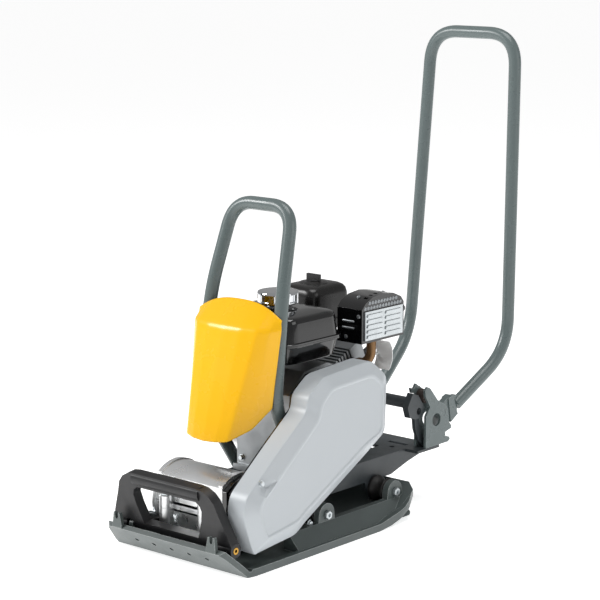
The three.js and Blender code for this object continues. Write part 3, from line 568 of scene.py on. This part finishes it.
grey_moulding = surface("grey_polyethylene", "#bfc4c8", "#bac0c4", 0.34, 1.5, 0.02, patch_mm=120)
guard = skin("belt_guard_moulding", guard_shell(), grey_moulding, "base")
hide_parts("belt_guard")
guard_bolts = [((146.8, -134, 149.8), (1, 0, 0))]
small_head = [(0.3, 0), (6.4, 0), (6.4, 1.2), (4.6, 1.4), (4.6, 4.4), (4, 5), (0.3, 5)]
turned("belt_guard_bolts", small_head, guard_bolts, zinc_plate, "base", sides=6)
guard_feet = [((112, y, z), (1, 0, 0)) for y, z in ((56, 44), (26, 40))]
turned("belt_guard_nuts", small_head, guard_feet, zinc_plate, "base", sides=6)
dress(black_enamel, 0.6, "belt_guard_back")
dress(moulded_rubber, 0.4, "drive_belt")
dress(turned_steel, 0.5, "crankshaft")

# ---- Engine block -------------------------------------------------------------------------
# Die-cast aluminium left as cast: crankcase, finned cylinder and head, with
# the carburettor in a finer casting.
cast_aluminium = surface("as_cast_aluminium", "#a3a6a8", "#888b8d", 0.42, 1.3, 0.05, metal=0.9)
dress(cast_aluminium, 1.2, "crankcase", "crankcase_cover")
dress(cast_aluminium, 0.5, "cylinder_block", "cylinder_head", "carburettor")
CASE_FRONT_Y = 36
case_bolt_places = ((-50, 124), (50, 124), (50, 190), (-50, 190), (0, 226))
case_bolts = [((x, CASE_FRONT_Y, z), (0, -1, 0)) for x, z in case_bolt_places]
turned("crankcase_bolts", small_head, case_bolts, zinc_plate, "base", sides=6)
dress(moulded_rubber, 0.6, "spark_plug_cap")
dress(black_enamel, 1.4, "fan_cover")
dress(textured_nylon, 1.2, "starter_grip", "oil_filler_cap", "engine_switch")
dress(textured_nylon, 0.4, "choke_lever", "throttle_lever")


# ---- Fuel tank and cap ----------------------------------------------------------------------
# Two deep-drawn steel halves, seam rolled together and stove enamelled black,
# under a chromed cap with eight flat grip panels.
def ring(z, grow, x0, x1, y0, y1, bend_mm):
    """A rounded rectangle at that height, grown by that much all round."""
    corners = [(x0 - grow, y0 - grow), (x1 + grow, y0 - grow), (x1 + grow, y1 + grow),
               (x0 - grow, y1 + grow)]
    flat = rounded(corners, bend_mm, 12)
    return np.column_stack([flat, np.full(len(flat), z)])


def drum(profile, *room, bend_mm=26):
    """Rounded rectangles stacked along a profile of height and growth."""
    return np.array([ring(z, grow, *room, bend_mm) for z, grow in profile]) * MM


TANK = (-96, 84, 6, 148)
lower_tank = [(306, -22), (306, -12), (307.5, -8), (311, -6), (335, -2), (337, -1.5), (337.6, 2.4),
              (338.4, 3), (341, 3)]
upper_tank = [(341.3, 3), (343.8, 3), (344.6, 2.4), (345, -0.8), (349, -1.2), (362, -2.4),
              (376, -3.8), (380.5, -4.8), (383.6, -6.6), (385.4, -9.4), (386.6, -13), (388.8, -22),
              (390.6, -32), (391.6, -44)]
tank_bottom = skin("fuel_tank_bottom", drum(lower_tank, *TANK), black_enamel, "base")
tank_top = skin("fuel_tank_top", drum(upper_tank, *TANK), black_enamel, "base")
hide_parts("fuel_tank_lower")
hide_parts("fuel_tank_upper")


CAP_Y = 74
CAP_PANELS = 8
PANEL_DEPTH = 3.4
SKIRT_LOW = 401
SKIRT_HIGH = 414.2
SKIRT_EASE = 1.2


def filler_cap():
    """Radius against height, its skirt cut in by eight flat grip panels between round ribs."""
    profile = np.array([(0.2, 394.5), (27, 394.5), (28, 397), (34, 397.4), (35.4, 398.6),
                        (35.6, 400), (35.6, 401), (35.6, 402.2), (35.6, 413), (35.6, 414.2),
                        (35.4, 416), (34.2, 417.8), (31.6, 418.8), (27, 419.2), (12, 419.8),
                        (0.2, 420)])
    radius, height = profile[:, 0][:, None], profile[:, 1][:, None]
    turn = np.linspace(0, 2 * math.pi, 288, endpoint=False)[None]
    panel = np.clip((np.cos(CAP_PANELS * turn) + 0.35) / 0.25, 0, 1)
    skirt = (np.clip((height - SKIRT_LOW) / SKIRT_EASE, 0, 1)
             * np.clip((SKIRT_HIGH - height) / SKIRT_EASE, 0, 1))
    r = radius - PANEL_DEPTH * panel * skirt
    grid = np.stack([r * np.cos(turn), CAP_Y + r * np.sin(turn), height + 0 * turn], -1)
    return grid * MM


chromed_steel = surface("chromed_steel", "#dfe1e4", "#d6d9dc", 0.1, 0.6, 0.003, metal=1.0)
cap = skin("chromed_filler_cap", filler_cap(), chromed_steel, "fuel_cap")
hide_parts("fuel_cap")

# ---- Air cleaner ---------------------------------------------------------------------------
# Black polypropylene box on its base, with a raised round boss under the knob.
satin_polypropylene = surface("satin_polypropylene", "#121111", "#181615", 0.3, 1.0, 0.02)
AIR_BOX = (-110, -20, 190, 298)
lid_profile = [(336.3, 2), (341.4, 2), (342.4, 1.4), (343, 0), (362, -1), (384, -1.8), (392, -3.6),
               (397, -7), (400, -12), (401.6, -19), (402, -26)]
lid = skin("air_cleaner_lid", drum(lid_profile, *AIR_BOX, bend_mm=20), satin_polypropylene, "base")
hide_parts("air_cleaner_cover")
boss_profile = [(9, 0), (27, 0), (26.4, 1.6), (24.6, 2.6), (22, 2.8), (20, 3.6), (19, 4), (9.8, 4)]
turned("air_cleaner_boss", boss_profile, [((-65, 244, 400.6), UP)], satin_polypropylene, "base",
       sides=48)
dress(satin_polypropylene, 1.0, "air_cleaner_base")
dress(textured_nylon, 1.6, "air_cleaner_knob")

# ---- Silencer --------------------------------------------------------------------------------
# Pressed steel guard in gloss black round the silencer, pierced with two rows of
# holes and held by small screws. Beside it are a louvred outlet panel, a
# heat-browned pipe and a pale coated sheet that turns the gases away.
dress(black_enamel, 1.2, "muffler_guard")
PIERCED_X = 97
HOLE_PITCH = 8.1
hole_spots = [((PIERCED_X, 191 + HOLE_PITCH * i, 381), (1, 0, 0)) for i in range(13)]
hole_spots += [((PIERCED_X, 203 + HOLE_PITCH * i, 389.5), (1, 0, 0)) for i in range(10)]
rim = [(2.2, -0.3), (3.5, -0.3), (3.5, 0.3), (3, 0.9), (2.5, 0.9), (2.2, 0.5)]
pierced_rim = surface("pierced_steel_rim", "#9ea2a5", "#85898c", 0.3, 0.5, 0.01, metal=0.8)
turned("silencer_guard_rims", rim, hole_spots, pierced_rim, "base", sides=16)
# Each hole is a black rubber disc inside its rim: painted shade standing in for the dark inside of
# the hole.
hole_shade_disc = [(0.3, -0.3), (2.15, -0.3), (2.15, 0.3), (0.3, 0.35)]
turned("silencer_guard_hole_shade", hole_shade_disc, hole_spots, moulded_rubber, "base", sides=16)
corner_screws = [((70, 206, 396.2), (0, -0.3, 1)), ((70, 274, 395.6), (0, 0.4, 1)),
                 ((62, 182, 330), (0, -1, 0)), ((90, 182, 368), (0, -1, 0))]
screw_head = [(0.3, -1), (3.6, -1), (3.6, 1.6), (2.6, 2.6), (0.3, 2.8)]
turned("silencer_guard_screws", screw_head, corner_screws, pierced_rim, "base", sides=16)
slit = [(0.3, 0), (1.6, 0), (2.2, 1.2), (2.2, 24.8), (1.6, 26), (0.3, 26)]
slit_spots = [((54, 182.6, z), (1, 0, 0)) for z in (346, 358)]
turned("silencer_guard_slits", slit, slit_spots, pierced_rim, "base", sides=12)
tab = [(1, 0), (6.4, 0), (7, 0.8), (7, 7.2), (6.4, 8), (1, 8)]
turned("silencer_guard_tab", tab, [((88, 297.6, 366), (0, 1, 0))], black_enamel, "base",
       sides=16)
heated_steel = surface("heat_browned_steel", "#7d5a3c", "#98774f", 0.46, 1.6, 0.03, metal=0.6,
                       patch_mm=18)
dress(heated_steel, 1.0, "muffler_body")
dress(heated_steel, 0.3, "exhaust_pipe")
dress(zinc_plate, 0.4, "muffler_louvres")
pale_coating = surface("pale_coated_sheet", "#f6f7f7", "#eef0f0", 0.42, 1.4, 0.02)
dress(pale_coating, 0.3, "heat_deflector")
